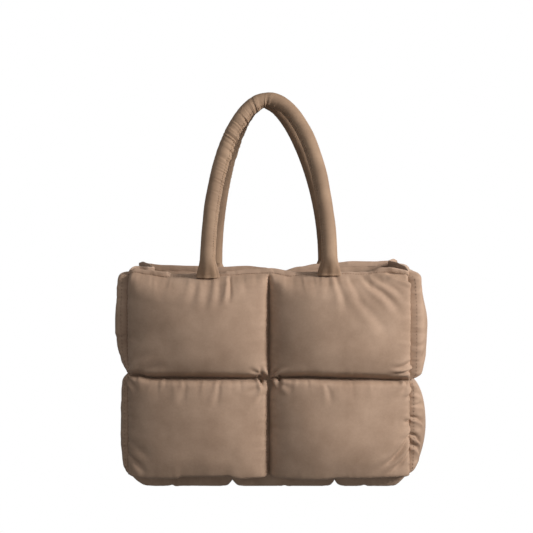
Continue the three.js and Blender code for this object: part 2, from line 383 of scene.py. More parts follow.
def cloud(across, up, spacing, seed):
    """Smooth random values over a panel, with one bump about every spacing."""
    flat = zip(across.ravel() / spacing, up.ravel() / spacing)
    values = [noise.noise(Vector((a, b, seed * 7.3))) for a, b in flat]
    return np.array(values).reshape(across.shape)


def along_table(table, at):
    """Value of a table of places and values, in mm, smoothed between its rows."""
    places = np.array([row[0] for row in table]) * MM
    values = np.array([row[1] for row in table]) * MM
    low = np.clip(np.searchsorted(places, at) - 1, 0, len(places) - 2)
    blend = smoothstep((at - places[low]) / (places[low + 1] - places[low]))
    return values[low] * (1 - blend) + values[low + 1] * blend


def upsampled(points, cell):
    """Halves the spacing along the first axis, with a smooth curve inside each pillow."""
    middle = (points[:-1] + points[1:]) / 2
    for k in range(len(points) - 1):
        same_before = k > 0 and cell[k] == cell[k + 1]
        same_after = k + 2 < len(points) and cell[k + 2] == cell[k + 1]
        if same_before and same_after:
            ends = points[k - 1] + points[k + 2]
            middle[k] = (9 * (points[k] + points[k + 1]) - ends) / 16
        elif same_after:
            middle[k] = (3 * points[k] + 6 * points[k + 1] - points[k + 2]) / 8
        elif same_before:
            middle[k] = (3 * points[k + 1] + 6 * points[k] - points[k - 1]) / 8
    finer = np.empty((2 * len(points) - 1,) + points.shape[1:])
    finer[::2] = points
    finer[1::2] = middle
    return finer


class Lines:
    """Grid lines of a row of pillows. They are spaced evenly along the cloth of a section, so
    more of them lie on a pillow's steep sides. seams are the places of the seams, rounds how far
    from each seam, on its low and its high side, a pillow's side reaches, and crests the share
    of its width where each pillow is highest. A crown with a low power is flatter on top."""

    def __init__(self, seams, rounds, crests, spacing, power=1.0, wall=14 * MM, crown=16 * MM):
        self.seams = seams
        self.rounds = rounds
        self.crests = crests
        self.power = power
        at = [seams[0]]
        cell = [0]
        for index in range(len(seams) - 1):
            trial = np.linspace(seams[index], seams[index + 1], 3001)
            height = wall * self.side(trial, index) + crown * self.crown(trial, index)
            steps = np.hypot(np.diff(trial), np.diff(height))
            run = np.concatenate([[0], np.cumsum(steps)])
            count = 2 * round(run[-1] / spacing / 2)
            at += list(np.interp(np.arange(1, count + 1) * run[-1] / count, run, trial))
            cell += [index] * count
        self.set_lines(np.array(at), np.array(cell))

    def set_lines(self, at, cell):
        self.at = at
        self.cell = cell
        self.is_seam = np.isin(np.round(at, 7), np.round(self.seams, 7))
        self.sides = np.array([self.side(x, c) for x, c in zip(at, cell)])
        self.crowns = np.array([self.crown(x, c) for x, c in zip(at, cell)])

    def side(self, x, cell):
        """0 at the seams of a pillow and 1 away from them: its steep sides."""
        from_low = np.maximum(0, x - self.seams[cell]) / self.rounds[cell][0]
        from_high = np.maximum(0, self.seams[cell + 1] - x) / self.rounds[cell][1]
        return (1 - np.exp(-from_low)) * (1 - np.exp(-from_high))

    def crown(self, x, cell):
        """The broad rise from the seams to the crest of a pillow."""
        share = (x - self.seams[cell]) / (self.seams[cell + 1] - self.seams[cell])
        crest = self.crests[cell]
        away = np.where(share < crest, (crest - share) / crest, (share - crest) / (1 - crest))
        return np.clip(1 - away * away, 0, None) ** self.power

    def halved(self):
        finer = Lines.__new__(Lines)
        finer.seams, finer.rounds = self.seams, self.rounds
        finer.crests, finer.power = self.crests, self.power
        at = np.empty(2 * len(self.at) - 1)
        at[::2] = self.at
        at[1::2] = (self.at[:-1] + self.at[1:]) / 2
        cell = np.empty(len(at), int)
        cell[::2] = self.cell
        cell[1::2] = self.cell[1:]
        finer.set_lines(at, cell)
        return finer


class Panel:
    """One padded panel: its grid, how far its pillows stand out and where a point of it lies.
    For each row of pillows, walls gives the height of its steep sides, crowns how much further
    it stands out towards its middle line, and bellies how much further still at its crest."""

    def __init__(self, node, across, up, place, turned, walls, crowns, bellies, folds, inner_puff):
        self.node = node
        self.across = across
        self.up = up
        self.place = place
        self.turned = turned
        self.walls = np.array(walls) * MM
        self.crowns = np.array(crowns) * MM
        self.bellies = np.array(bellies) * MM
        self.folds = folds
        self.inner_puff = inner_puff
        self.lay_grid()

    def lay_grid(self):
        self.a, self.b = np.meshgrid(self.across.at, self.up.at)
        self.pinned = self.up.is_seam[:, None] | self.across.is_seam[None, :]
        wall = (self.walls[self.up.cell] * self.up.sides)[:, None] * self.across.sides
        crown = (self.crowns[self.up.cell] * self.up.sides)[:, None] * self.across.crowns
        belly = (self.bellies[self.up.cell] * self.up.crowns)[:, None] * self.across.crowns
        self.puff = wall + crown + belly

    def start_points(self):
        return self.place(self.a, self.b, SEAM_HALF + self.puff)

    def refine(self, points):
        """Halves the grid's spacing, and takes the given points onto the new grid."""
        points = upsampled(points, self.up.cell)
        points = upsampled(points.transpose(1, 0, 2), self.across.cell).transpose(1, 0, 2)
        self.across = self.across.halved()
        self.up = self.up.halved()
        self.lay_grid()
        self.outer = points

    def faces(self):
        index = np.arange(self.a.size).reshape(self.a.shape)
        quads = [index[:-1, :-1], index[:-1, 1:], index[1:, 1:], index[1:, :-1]]
        if self.turned:
            quads.reverse()
        return np.stack(quads, -1).reshape(-1, 4)

    def normals(self, points):
        """Outward directions of a grid of points."""
        across = np.gradient(points, axis=1)
        up = np.gradient(points, axis=0)
        normal = np.cross(across, up) * (-1 if self.turned else 1)
        length = np.linalg.norm(normal, axis=2, keepdims=True)
        return normal / np.maximum(length, 1e-12)


def rim_height(facing, x):
    return along_table(FRONT_RIM if facing < 0 else BACK_RIM, x)


def lift_share(height):
    """The share of a lift at the rim that reaches down to a height."""
    return np.clip((height - QUILT_SEAM) / (RIM_SEAM - QUILT_SEAM), 0, None)


def quilt_share(height):
    """The share of the quilting seam's lift that is left at a height."""
    return np.exp(-(((height - QUILT_SEAM) / (34 * MM)) ** 2))


def sunk(height, out, lift):
    """Height of a front or back pillow's cloth. The pillow sinks away from its seams, and close
    to them its top and its underside climb outwards."""
    from_quilt = np.abs(height - QUILT_SEAM)
    from_base = height - UPRIGHT_BOTTOM
    loose = smoothstep(from_quilt / (50 * MM)) * smoothstep(from_base / (60 * MM))
    slope = np.where(height < QUILT_SEAM, RISE, GROOVE) * np.exp(-from_quilt / (9 * MM))
    slope = slope - OVERHANG * np.exp(-from_base / (9 * MM))
    return height + lift + (slope - SAG * loose) * out


def corner_shift(along, half, height):
    """How far the rounding of the opening's corners moves a point along its panel's edge and
    into the bag."""
    share = np.clip((np.abs(along) - half + CORNER) / CORNER, 0, 1)
    turn = share * math.pi / 4
    along_shift = CORNER * (np.sin(turn) - share)
    inward_shift = CORNER * (1 - np.cos(turn))
    near_rim = smoothstep(1 - (RIM_SEAM - height) / (46 * MM))
    return np.sign(along) * along_shift * near_rim, inward_shift * near_rim


def side_rim(facing, y):
    return along_table(RIGHT_RIM if facing > 0 else LEFT_RIM, y)


def corner_quilt(facing):
    """Lift of the quilting seam at a front corner, which the side panel's seam shares."""
    return FRONT_QUILT[-1 if facing > 0 else 0][1] * MM


def tuck_at_rim(facing, y):
    """How far a side panel is folded into the bag at the rim: a V with a soft tip."""
    share = np.sqrt((y / HALF_DEPTH) ** 2 + 0.004)
    return (RIGHT_TUCK if facing > 0 else LEFT_TUCK) * np.clip(1 - share, 0, None)


def spread(along, half, outward):
    """Where a pillow's side leans over its outer seam towards the neighbouring panel."""
    gap = np.maximum(0, half - np.abs(along))
    return along + np.sign(along) * 0.42 * outward * np.exp(-gap / (14 * MM))


def wide_place(facing):
    def place(x, height, outward):
        out = np.maximum(0, outward)
        lift = (rim_height(facing, x) - RIM_SEAM) * lift_share(height)
        if facing < 0:
            lift = lift + along_table(FRONT_QUILT, x) * quilt_share(height)
            fullness = smoothstep(out / (20 * MM))
            near_base = np.exp(-(height - UPRIGHT_BOTTOM) / (26 * MM))
            lift = lift + along_table(FRONT_BASE, x) * fullness * near_base
        z = sunk(height, out, lift)
        sideways, inward = corner_shift(x, HALF_WIDTH, height)
        below_rim = smoothstep((RIM_SEAM - height) / (60 * MM))
        above_base = smoothstep((height - UPRIGHT_BOTTOM) / (60 * MM))
        bow = BOW * np.cos(0.5 * math.pi * x / HALF_WIDTH) * below_rim * above_base
        x = spread(x, HALF_WIDTH, out) + sideways
        return np.stack([x, facing * (HALF_DEPTH + outward + bow - inward), z], -1)

    return place


def side_place(facing):
    def place(y, height, outward):
        out = np.maximum(0, outward)
        lift = (side_rim(facing, y) - RIM_SEAM) * lift_share(height)
        front_share = 0.5 - 0.5 * y / HALF_DEPTH
        lift = lift + corner_quilt(facing) * front_share * quilt_share(height)
        near_rim = np.exp(-(RIM_SEAM - height) / (9 * MM))
        z = height + lift + (SIDE_RISE * near_rim - 0.05) * out
        tuck = tuck_at_rim(facing, y) * smoothstep(1 - (RIM_SEAM - height) / TUCK_DEPTH)
        sideways, inward = corner_shift(y, HALF_DEPTH, height)
        x = facing * (HALF_WIDTH + outward - tuck - inward)
        return np.stack([x, spread(y, HALF_DEPTH, out) + sideways, z], -1)

    return place


def base_place(x, y, outward):
    """The base hangs below its outer seams, so its inner seams lie lower than those."""
    from_side = np.maximum(0, HALF_WIDTH - 0.6 * MM - np.abs(x))
    from_face = np.maximum(0, HALF_DEPTH - 0.6 * MM - np.abs(y))
    hang = (1 - np.exp(-from_side / (18 * MM))) * (1 - np.exp(-from_face / (3 * MM)))
    return np.stack([x, y, np.maximum(0, BASE_SEAM - outward - BASE_HANG * hang)], -1)


def make_panels():
    bottom, middle, top = UPRIGHT_BOTTOM, QUILT_SEAM, RIM_SEAM
    wide_rounds = [(5.0 * MM, 2.2 * MM), (5.5 * MM, 2.6 * MM)]
    upright_rounds = [(1.4 * MM, 1.8 * MM), (2.4 * MM, 3.6 * MM)]
    right_rounds = [(5.0 * MM, 4.0 * MM), (3.6 * MM, 2.2 * MM)]
    left_rounds = [(6.0 * MM, 4.0 * MM), (24.0 * MM, 2.0 * MM)]
    base_rounds = [(12 * MM, 7 * MM), (7 * MM, 7 * MM), (7 * MM, 10 * MM)]

    def wide_lines(spacing):
        across = Lines([-HALF_WIDTH, 0, HALF_WIDTH], wide_rounds, [0.54, 0.42], spacing)
        up = Lines([bottom, middle, top], upright_rounds, [0.24, 0.8], spacing)
        return across, up

    def side_lines(spacing, rounds, crests):
        across = Lines([-HALF_DEPTH, HALF_DEPTH], [(2.6 * MM, 2.6 * MM)], [0.5], spacing)
        up = Lines([bottom, middle, top], rounds, crests, spacing)
        return across, up

    base_edge = HALF_WIDTH - 0.6 * MM
    base_seams = [-base_edge, -45 * MM, 82 * MM, base_edge]
    base_across = Lines(base_seams, base_rounds, [0.5, 0.5, 0.5], COARSE)
    half = HALF_DEPTH - 0.6 * MM
    base_up = Lines([-half, half], [(2.4 * MM, 2.4 * MM)], [0.5], COARSE)
    left, right = side_place(-1), side_place(1)
    return [
        Panel("front_panel", *wide_lines(FINE), wide_place(-1), False, [13, 13], [11, 9],
              [4, 9], FRONT_FOLDS, 10 * MM),
        Panel("back_panel", *wide_lines(COARSE), wide_place(1), True, [13, 13], [11, 12],
              [4, 5], BACK_FOLDS, 10 * MM),
        Panel("side_panel_right", *side_lines(FINE, right_rounds, [0.48, 0.5]), right, False,
              [10, 16], [3, 5], [14, 6], RIGHT_SIDE_FOLDS, 8 * MM),
        Panel("side_panel_left", *side_lines(FINE, left_rounds, [0.5, 0.7]), left, True,
              [8, 16], [2, 2], [2, 1], LEFT_SIDE_FOLDS, 8 * MM),
        Panel("base_panel", base_across, base_up, base_place, True, [11], [4],
              [3], BASE_FOLDS, 6 * MM),
    ]  # fmt: skip


def ironed(field):
    """Evens out the shortest waves of a grid of values."""
    for _ in range(5):
        field[1:-1] = (field[:-2] + 2 * field[1:-1] + field[2:]) / 4
        field[:, 1:-1] = (field[:, :-2] + 2 * field[:, 1:-1] + field[:, 2:]) / 4
    return field


def inflate(panels):
    """Lets the outer cloth of every panel find its shape under its filling's pressure. The cloth
    is cut a little larger than the space that it is sewn into, so it buckles."""
    starts = [panel.start_points().reshape(-1, 3) for panel in panels]
    shake = np.random.default_rng(11)
    shaken = []
    faces, pins, first = [], [], 0
    for panel, start in zip(panels, starts):
        free = ~panel.pinned.ravel()
        shaken.append(start.copy())
        shaken[-1][free] += shake.normal(0, 0.12 * MM, (free.sum(), 3))
        faces.append(panel.faces() + first)
        pins.append(np.flatnonzero(~free) + first)
        first += len(start)
    mesh = bpy.data.meshes.new("cut_cloth")
    mesh.from_pydata(np.concatenate(shaken).tolist(), [], np.concatenate(faces).tolist())
    cloth = bpy.data.objects.new("cut_cloth", mesh)
    scene = bpy.context.scene
    scene.collection.objects.link(cloth)
    seams = cloth.vertex_groups.new(name="seams")
    seams.add(np.concatenate(pins).tolist(), 1.0, "REPLACE")
    fabric = cloth.modifiers.new("fabric", "CLOTH")
    settings = fabric.settings
    settings.vertex_group_mass = "seams"
    settings.quality = 5
    settings.shrink_min = -GROWTH
    settings.tension_stiffness = 40
    settings.compression_stiffness = 40
    settings.shear_stiffness = 8
    settings.bending_stiffness = 0.05
    settings.use_pressure = True
    settings.uniform_pressure_force = PRESSURE
    settings.effector_weights.gravity = 0
    fabric.collision_settings.use_collision = False
    fabric.collision_settings.use_self_collision = False
    scene.frame_start, scene.frame_end = 1, SIM_FRAMES
    fabric.point_cache.frame_start, fabric.point_cache.frame_end = 1, SIM_FRAMES
    for number in range(1, SIM_FRAMES + 1):
        scene.frame_set(number)
    blown = cloth.evaluated_get(bpy.context.evaluated_depsgraph_get()).data
    points = np.empty(len(blown.vertices) * 3, np.float32)
    blown.vertices.foreach_get("co", points)
    points = points.reshape(-1, 3).astype(float)
    bpy.data.objects.remove(cloth)
    bpy.data.meshes.remove(mesh)
    scene.frame_set(1)
    first = 0
    for panel, start in zip(panels, starts):
        moved = points[first : first + len(start)] - start
        length = np.linalg.norm(moved, axis=1, keepdims=True)
        cap = 9 * MM
        moved *= SIM_SHARE * np.minimum(1, cap / np.maximum(length, 1e-9))
        moved = ironed(moved.reshape(panel.a.shape + (3,)).copy())
        moved[panel.pinned] = 0
        panel.refine(start.reshape(moved.shape) + moved)
        first += len(start)


def fold_depths(panel):
    """How far the panel's folds pull its cloth in, and push it out beside them."""
    depth = np.zeros(panel.a.shape)
    for a0, b0, a1, b1, deep, wide in panel.folds:
        start = np.array([a0, b0]) * MM
        run = np.array([a1, b1]) * MM - start
        length = np.linalg.norm(run)
        offset_a, offset_b = panel.a - start[0], panel.b - start[1]
        share = (offset_a * run[0] + offset_b * run[1]) / length**2
        side = (offset_a * run[1] - offset_b * run[0]) / length
        bend = side + 0.06 * length * np.sin(math.pi * np.clip(share, 0, 1))
        ends = smoothstep((share + 0.12) / 0.2) * smoothstep((1.05 - share) / 0.6)
        narrow = wide * MM * (0.7 + 0.6 * np.clip(share, 0, 1))
        valley = np.exp(-((bend / narrow) ** 2))
        ridge = 0.55 * np.exp(-(((bend - 1.9 * narrow) / (1.1 * narrow)) ** 2))
        depth += deep * MM * ends * (ridge - valley)
    return depth


def gathers(panel, seed):
    """Small wedge-shaped folds that run from the seams a little way into each pillow."""
    height = np.zeros(panel.a.shape)
    for axis, lines, along in ((0, panel.up, panel.across.at), (1, panel.across, panel.up.at)):
        target = height if axis == 0 else height.T
        for number, seam in enumerate(lines.seams):
            for side in (-1, 1):
                chance = np.random.default_rng([seed, axis, number, side + 1])
                strength = 0.45 if axis == 0 and side > 0 else 1.0
                if axis == 1 and panel.node.startswith("side"):
                    strength = 1.7
                rows = np.flatnonzero((lines.at - seam) * side > 0)
                rows = rows[np.abs(lines.at[rows] - seam) < 34 * MM]
                near = np.abs(lines.at[rows] - seam)[:, None]
                for place in np.arange(along[0], along[-1], 4.6 * MM):
                    centre = place + chance.uniform(-2, 2) * MM
                    deep = chance.choice([-1, 1]) * chance.uniform(0.15, 0.9) ** 1.5 * 0.65 * MM * strength
                    wide = chance.uniform(1.3, 2.6) * MM
                    reach = chance.uniform(5, 20) * MM
                    slant = chance.uniform(-0.25, 0.25)
                    columns = np.flatnonzero(np.abs(along - centre) < 16 * MM)
                    offset = along[columns][None, :] - centre - slant * near
                    shape = np.exp(-((offset / (wide + 0.12 * near)) ** 2))
                    fade = (1 - np.exp(-near / (1.2 * MM))) * np.exp(-((near / reach) ** 2))
                    target[np.ix_(rows, columns)] += deep * shape * fade
    return height


def settle(panel, seed):
    """Gives the blown-up cloth its folds, gathers and lumps, and keeps it in its own space."""
    points = panel.outer
    soft = np.sqrt(panel.up.crowns[:, None] * panel.across.crowns[None, :])
    lumps = 1.0 * MM * cloud(panel.a, panel.b, 38 * MM, seed) * soft
    push = fold_depths(panel) + gathers(panel, seed) + lumps
    free = ~panel.pinned
    points = points + (push * free)[..., None] * panel.normals(points)
    x, y, z = points[..., 0], points[..., 1], points[..., 2]
    clear = 0.12 * MM * free
    lower = panel.up.cell[:, None] == 0
    if panel.node in ("front_panel", "back_panel"):
        facing = -1 if panel.node == "front_panel" else 1
        out = np.maximum(SEAM_HALF, facing * y - HALF_DEPTH)
        left = panel.across.cell[None, :] == 0
        x = np.where(left, np.minimum(x, -clear), np.maximum(x, clear))
        limit = HALF_WIDTH + 0.9 * out
        x = np.clip(x, -limit, limit)
        seam = np.full(z.shape, QUILT_SEAM)
        if facing < 0:
            seam = seam + along_table(FRONT_QUILT, panel.a)
        upper_limit = seam + 0.9 * GROOVE * np.maximum(0, out - 3 * MM) + clear
        z = np.where(lower, np.minimum(z, seam + RISE * out - clear), np.maximum(z, upper_limit))
        floor = UPRIGHT_BOTTOM - OVERHANG * out
        z = np.where(free, at_least(z, floor, 1.0 * MM), z)
        y = facing * (HALF_DEPTH + out)
    elif panel.node.startswith("side"):
        facing = 1 if panel.node == "side_panel_right" else -1
        out = np.maximum(0, facing * x - HALF_WIDTH)
        seam = QUILT_SEAM - 0.05 * out
        seam = seam + corner_quilt(facing) * (0.5 - 0.5 * panel.a / HALF_DEPTH)
        z = np.where(lower, np.minimum(z, seam - clear), np.maximum(z, seam + clear))
        z = np.where(free, at_least(z, UPRIGHT_BOTTOM - 0.3 * out), z)
        limit = HALF_DEPTH + 0.9 * out
        y = np.clip(y, -limit, limit)
    else:
        z = np.clip(z, 0, BASE_SEAM - SEAM_HALF)
    panel.outer = np.stack([x, y, np.maximum(z, 0)], -1)


def inner_fold(panel, a, b):
    """The hollow that the back panel's inner cloth falls into below its rim, and its two sides."""
    if panel.node != "back_panel":
        return 0 * a
    offset = (a - INNER_HOLLOW) / (7 * MM)
    shape = np.exp(-((offset / 0.8) ** 2)) - 0.6 * np.exp(-((np.abs(offset) - 1.9) ** 2))
    return -6 * MM * shape * smoothstep(1 - (RIM_SEAM - b) / (50 * MM))


def inner_points(panel, seed):
    """The panel's inner cloth, on every second line of its grid."""
    a, b = panel.a[::2, ::2], panel.b[::2, ::2]
    bulge = panel.across.crowns[::2][None, :] * panel.up.crowns[::2][:, None]
    waves = 0.35 + 0.65 * smoothstep((b - QUILT_SEAM) / (RIM_SEAM - QUILT_SEAM))
    ripple = 2.4 * MM * cloud(a * 2.2, b * 0.7, 26 * MM, seed + 40) * waves
    fold = inner_fold(panel, a, b)
    inward = SEAM_HALF + panel.inner_puff * bulge + (ripple + fold) * np.sqrt(bulge)
    return panel.place(a, b, -inward)


def link_piece(name, points, faces, uvs, material, levels=0):
    """A smooth-shaded mesh object at the origin, with its flat cloth places as a UV map."""
    mesh = bpy.data.meshes.new(name)
    mesh.from_pydata(points.tolist(), [], faces)
    mesh.validate()
    layer = mesh.uv_layers.new(name="cloth")
    corners = np.empty(len(mesh.loops), np.int32)
    mesh.loops.foreach_get("vertex_index", corners)
    layer.data.foreach_set("uv", uvs[corners].astype(np.float32).ravel())
    mesh.shade_smooth()
    mesh.materials.append(material)
    piece = bpy.data.objects.new(name, mesh)
    bpy.context.scene.collection.objects.link(piece)
    if levels:
        finer = piece.modifiers.new("finer", "SUBSURF")
        finer.levels = finer.render_levels = levels
    return piece


def panel_faces(panel):
    """Quads of the outer and the inner cloth, and the edge between them, all facing out."""
    outer = np.arange(panel.a.size).reshape(panel.a.shape)
    inner_shape = panel.a[::2, ::2].shape
    inner = np.arange(inner_shape[0] * inner_shape[1]).reshape(inner_shape) + panel.a.size
    faces = [
        *np.stack([outer[:-1, :-1], outer[:-1, 1:], outer[1:, 1:], outer[1:, :-1]], -1).reshape(-1, 4).tolist(),
        *np.stack([inner[:-1, :-1], inner[1:, :-1], inner[1:, 1:], inner[:-1, 1:]], -1).reshape(-1, 4).tolist(),
    ]
    borders = [
        (outer[0, ::-1], inner[0, ::-1]),
        (outer[-1, :], inner[-1, :]),
        (outer[:, 0], inner[:, 0]),
        (outer[::-1, -1], inner[::-1, -1]),
    ]
    for fine, coarse in borders:
        for k in range(len(coarse) - 1):
            faces.append([int(i) for i in (fine[2 * k], fine[2 * k + 1], fine[2 * k + 2], coarse[k + 1], coarse[k])])
    if panel.turned:
        faces = [face[::-1] for face in faces]
    return faces


def make_panel(panel, seed, material):
    inner = inner_points(panel, seed)
    points = np.concatenate([panel.outer.reshape(-1, 3), inner.reshape(-1, 3)])
    flat = np.stack([panel.a, panel.b], -1)
    uvs = np.concatenate([flat.reshape(-1, 2), flat[::2, ::2].reshape(-1, 2)])
    piece = link_piece(panel.node + "_quilted", points, panel_faces(panel), uvs, material)
    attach(piece, "root")
    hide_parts(panel.node)
    return piece


def binding_stand(x):
    """The binding's lean, in radians, and height at a place along the front rim."""
    places = [row[0] * MM for row in FRONT_BINDING]
    lean = np.interp(x, places, [math.radians(row[1]) for row in FRONT_BINDING])
    return lean, np.interp(x, places, [row[2] * MM for row in FRONT_BINDING])


def rim_edge(facing, along, half, lift, stand, wide):
    """Points of the strip's middle line along one panel's edge."""
    rim = np.full(len(along), RIM_SEAM)
    sideways, inward = corner_shift(along, half, rim)
    if wide:
        return np.stack([along + sideways, facing * (HALF_DEPTH - inward), lift, *stand], -1)
    x = facing * (HALF_WIDTH - tuck_at_rim(facing, along) - inward)
    return np.stack([x, along + sideways, lift, *stand], -1)


def rim_route():
    """The strip's middle line once round the opening, anticlockwise from the front left corner:
    places, how far it leans out of the bag, in radians, and its height."""
    wide = np.arange(-HALF_WIDTH, HALF_WIDTH, 1.2 * MM)
    deep = np.arange(-HALF_DEPTH, HALF_DEPTH, 1.2 * MM)
    lean = math.radians(-4)
    back_lean = math.radians(20) + math.radians(14) * drift(wide, 34 * MM, 76)
    back = (back_lean, np.full(len(wide), RIM_HEIGHT))
    side = (np.full(len(deep), lean), np.full(len(deep), RIM_HEIGHT))
    parts = [
        rim_edge(-1, wide, HALF_WIDTH, rim_height(-1, wide), binding_stand(wide), True),
        rim_edge(1, deep, HALF_DEPTH, side_rim(1, deep), side, False),
        rim_edge(1, wide, HALF_WIDTH, rim_height(1, wide), back, True)[::-1],
        rim_edge(-1, deep, HALF_DEPTH, side_rim(-1, deep), side, False)[::-1],
    ]
    route = np.concatenate(parts)
    for _ in range(3):
        route = (np.roll(route, 1, axis=0) + 2 * route + np.roll(route, -1, axis=0)) / 4
    return route


def make_rim_strip(material):
    """The folded strip that binds the opening: cloth over the panels' edges and down both sides."""
    route = rim_route()
    centre, lean = route[:, :3], route[:, 3]
    before, after = np.roll(centre, 1, axis=0), np.roll(centre, -1, axis=0)
    along = after - before
    along[:, 2] = 0
    along /= np.linalg.norm(along, axis=1, keepdims=True)
    outward = np.stack([along[:, 1], -along[:, 0], 0 * along[:, 0]], -1)
    length = np.concatenate([[0], np.cumsum(np.linalg.norm(np.diff(centre, axis=0), axis=1))])
    flutter = drift(length, 21 * MM, 71) * math.radians(7) + drift(length, 9 * MM, 72) * math.radians(4)
    lean = lean + flutter
    overlap = 1.4 * MM
    tall = (route[:, 4] + overlap) * (1 + 0.06 * drift(length, 26 * MM, 73))
    half, wall = 1.5 * MM, 0.6 * MM
    over = np.linspace(0, math.pi, 7)
    outer = [(0.75 * half, 0.0), (half, 0.25), (1.1 * half, 0.5)]
    outer += [(half * math.cos(t), 0.74 + 0.26 * math.sin(t)) for t in over]
    outer += [(-1.1 * half, 0.5), (-half, 0.25), (-0.75 * half, 0.0)]
    inner = [(-half + wall, 0.0), (-half + wall, 0.5)]
    inner += [(-(half - wall) * math.cos(t), 0.76 + 0.14 * math.sin(t)) for t in over]
    inner += [(half - wall, 0.5), (half - wall, 0.0)]
    section = outer + inner
    rings = []
    for number, (offset, rise) in enumerate(section):
        crimp = 0.25 * MM * drift(length + 3 * rise * MM, 3.4 * MM, 74) * (number < len(outer))
        sign = np.sign(offset) if abs(offset) > 0.1 * MM else 0
        side = offset + sign * crimp
        up = rise * tall
        x = centre + (side * np.cos(lean) + up * np.sin(lean))[:, None] * outward
        x[:, 2] += up * np.cos(lean) - side * np.sin(lean) - overlap
        rings.append(x)
    points = np.stack(rings, 1)
    stations, around = points.shape[:2]
    index = np.arange(stations * around).reshape(stations, around)
    nxt = np.roll(index, -1, axis=0)
    turn = np.roll(index, -1, axis=1)
    both = np.roll(nxt, -1, axis=1)
    faces = np.stack([index, nxt, both, turn], -1).reshape(-1, 4).tolist()
    run = np.concatenate([[0], np.cumsum([math.dist(section[k], section[k - 1]) for k in range(1, around)])])
    uvs = np.stack([np.repeat(length[:, None], around, 1), np.repeat(run[None, :], stations, 0)], -1)
    piece = link_piece("rim_strip_folded", points.reshape(-1, 3), faces, uvs.reshape(-1, 2), material, 1)
    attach(piece, "root")
    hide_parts("rim_strip")
    return piece, points, outward


def handle_outline():
    """A handle's outline: places across the bag and heights above the rim."""
    rise = HANDLE_DROP + TUBE_RADIUS - HANDLE_LEG
    leg = np.linspace(0, HANDLE_LEG, 20)[:-1]
    angle = np.linspace(0, math.pi, 680)
    arch = -HANDLE_HALF_SPAN * np.cos(angle)
    across = np.concatenate([-HANDLE_HALF_SPAN + 0 * leg, arch, HANDLE_HALF_SPAN + 0 * leg])
    height = np.concatenate([leg, HANDLE_LEG + rise * np.sin(angle), leg[::-1]])
    return across, height


